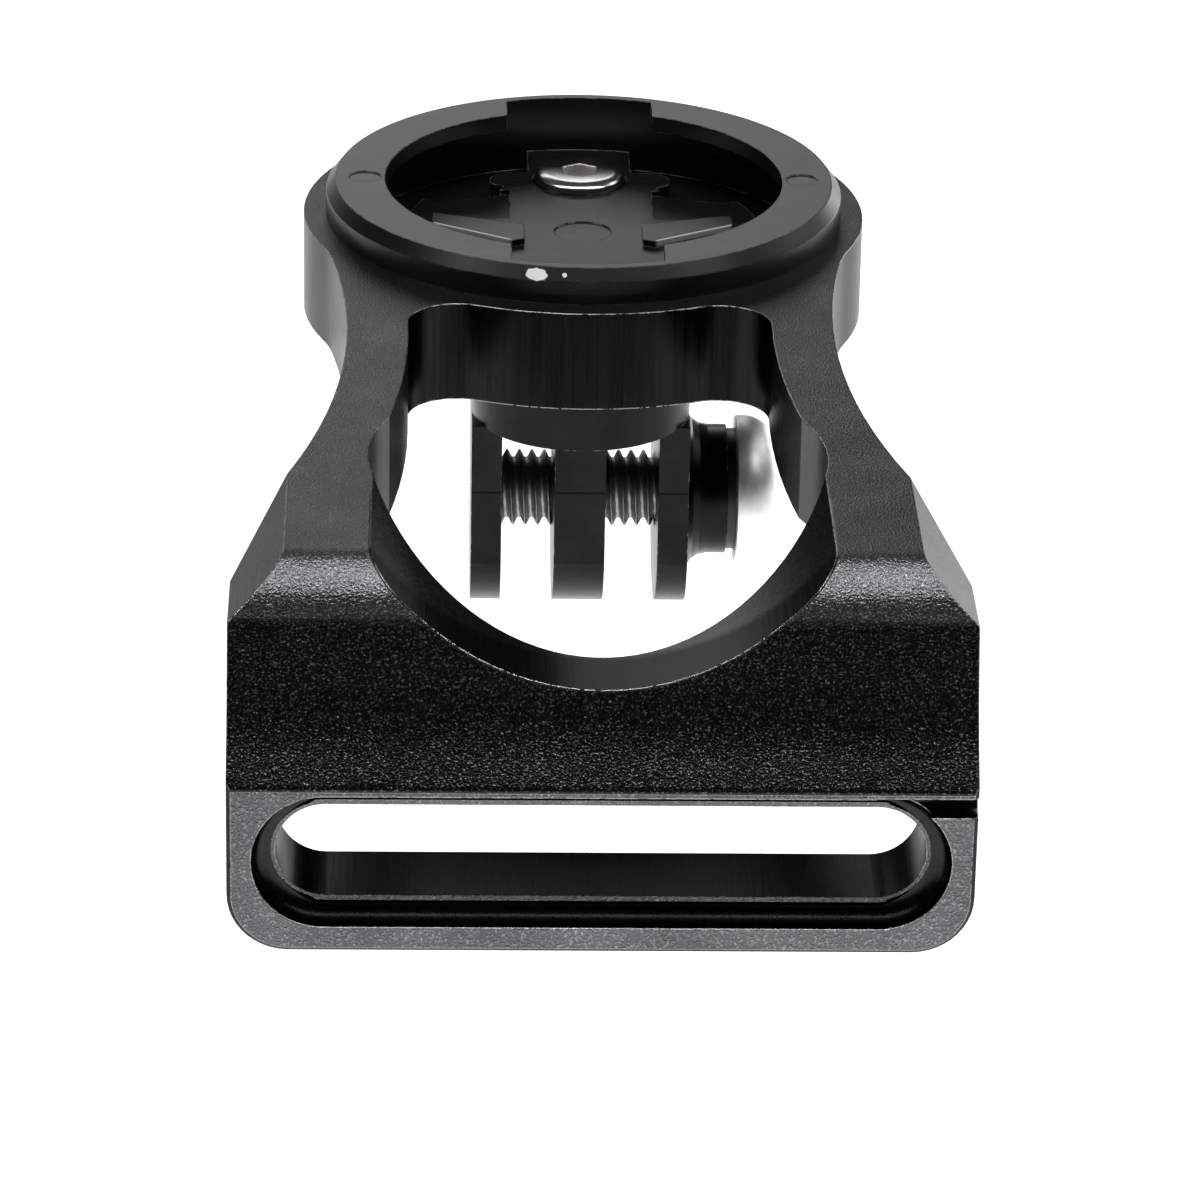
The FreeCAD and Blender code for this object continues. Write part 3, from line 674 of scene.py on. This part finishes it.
def adapter_finish():
    """Dark satin metal, fine milling lines, edges rubbed light in places, a painted shade line at the
    crease.
    """
    colour = (adapter_tone, adapter_tone, adapter_tone * 1.06)
    material, tree, shader, place = new_finish("adapter_anodised", colour, 1.0, 0.3)
    edge = placed(tree, soft_edges, Radius=adapter_edge)
    fog = placed(tree, patches, Position=place["Object"], Fineness=300.0, Low=0.8, High=1.25)
    lines = placed(tree, cutter_marks, Position=place["Object"], Fineness=(2500, 300, 5200))
    worn = placed(tree, worn_spots, Position=place["Object"], Fineness=1500.0, Edge=edge["Edge"], Cover=0.4)
    spot = parts_of(tree, place["Object"])
    # Painted shade: a thin dark line across the prongs' fronts where their flat faces meet the rounded
    # ends.
    line = between(tree, spot["Z"], crease_height - 0.03 * mm, crease_height + 0.03 * mm, 0.05 * mm)
    painted_crease_shade = times(tree, line, smooth_step(tree, spot["Y"], crease_back, crease_back - 0.1 * mm))
    tone = times(tree, fog["Value"], less(tree, 1.0, times(tree, painted_crease_shade, 0.7)))
    coat = mixed(tree, times(tree, worn["Worn"], 0.4), toned(tree, colour, tone), prong_bare)
    linked(tree, shader.inputs["Base Color"], coat)
    rough = worked(tree, "ADD", 0.24, times(tree, lines["Height"], 0.14))
    linked(tree, shader.inputs["Roughness"], rough)
    linked(tree, shader.inputs["Normal"], dented(tree, lines["Height"], 0.006 * mm, edge["Normal"]))
    return material


put_on(nodes["camera_adapter"], adapter_finish())

# Adapter fixing screw. A stainless countersunk M5 screw, hidden under the insert. It
# goes down through the head and pulls the adapter up.

fixing_steel = steel_finish("fixing_steel", (0.5, 0.49, 0.48), 0.28, (1500, 1500, 7000))
put_on(nodes["adapter_fixing_screw"], fixing_steel)

# Clamp washer. A thin dark ring between the adapter's boss and the clamp screw's head,
# which spreads the screw's load.

washer_tone = 0.012


def washer_finish():
    """Black coated steel, a little polished where it rubs."""
    colour = (washer_tone, washer_tone, washer_tone)
    material, tree, shader, place = new_finish("washer_black", colour, 0.0, 0.38)
    edge = placed(tree, soft_edges, Radius=0.08 * mm)
    fog = placed(tree, patches, Position=place["Object"], Fineness=700.0, Low=0.7, High=1.5)
    turned = placed(tree, cutter_marks, Position=place["Object"], Fineness=(6000, 700, 700))
    linked(tree, shader.inputs["Base Color"], toned(tree, colour, fog["Value"]))
    linked(tree, shader.inputs["Roughness"], worked(tree, "ADD", 0.3, times(tree, turned["Height"], 0.2)))
    linked(tree, shader.inputs["Normal"], dented(tree, turned["Height"], 0.006 * mm, edge["Normal"]))
    return material


put_on(nodes["clamp_washer"], washer_finish())

# Clamp screw. A bright M5 button-head screw that goes in from the boss's side, through
# all three prongs, and pulls them together on a camera's lug.

clamp_seat = (10.15, 3.86, -20.49)
clamp_steel = (0.95, 0.94, 0.92)
clamp_thread_end = 9.8
m5_pitch = 0.8
along_x = [(0, 0, 1), (1, 0, 0), (0, 1, 0)]

clamp_screw = screw_skin(
    "clamp_screw_m5",
    tip=[(-16.55, 1.75)],
    thread=(-16.3, -1.6),
    head=[(-1.2, 2.45), (0, 2.45), (0, 4.65), (0.1, 4.75), *dome(4.75, 2.4, 0.55, 2.75, 16)],
    socket=[(2.75, 1.62), (2.66, 1.5), (1.15, 1.5), (1.0, 1.0)],
    radius=2.45,
    pitch=m5_pitch,
    turn_to_axis=along_x,
    seat=clamp_seat,
)
clamp_chrome = steel_finish("clamp_screw_chrome", clamp_steel, 0.46, (3500, 900, 900), clamp_thread_end)
put_on(clamp_screw, clamp_chrome)
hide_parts("clamp_screw")
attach(clamp_screw, "clamp")
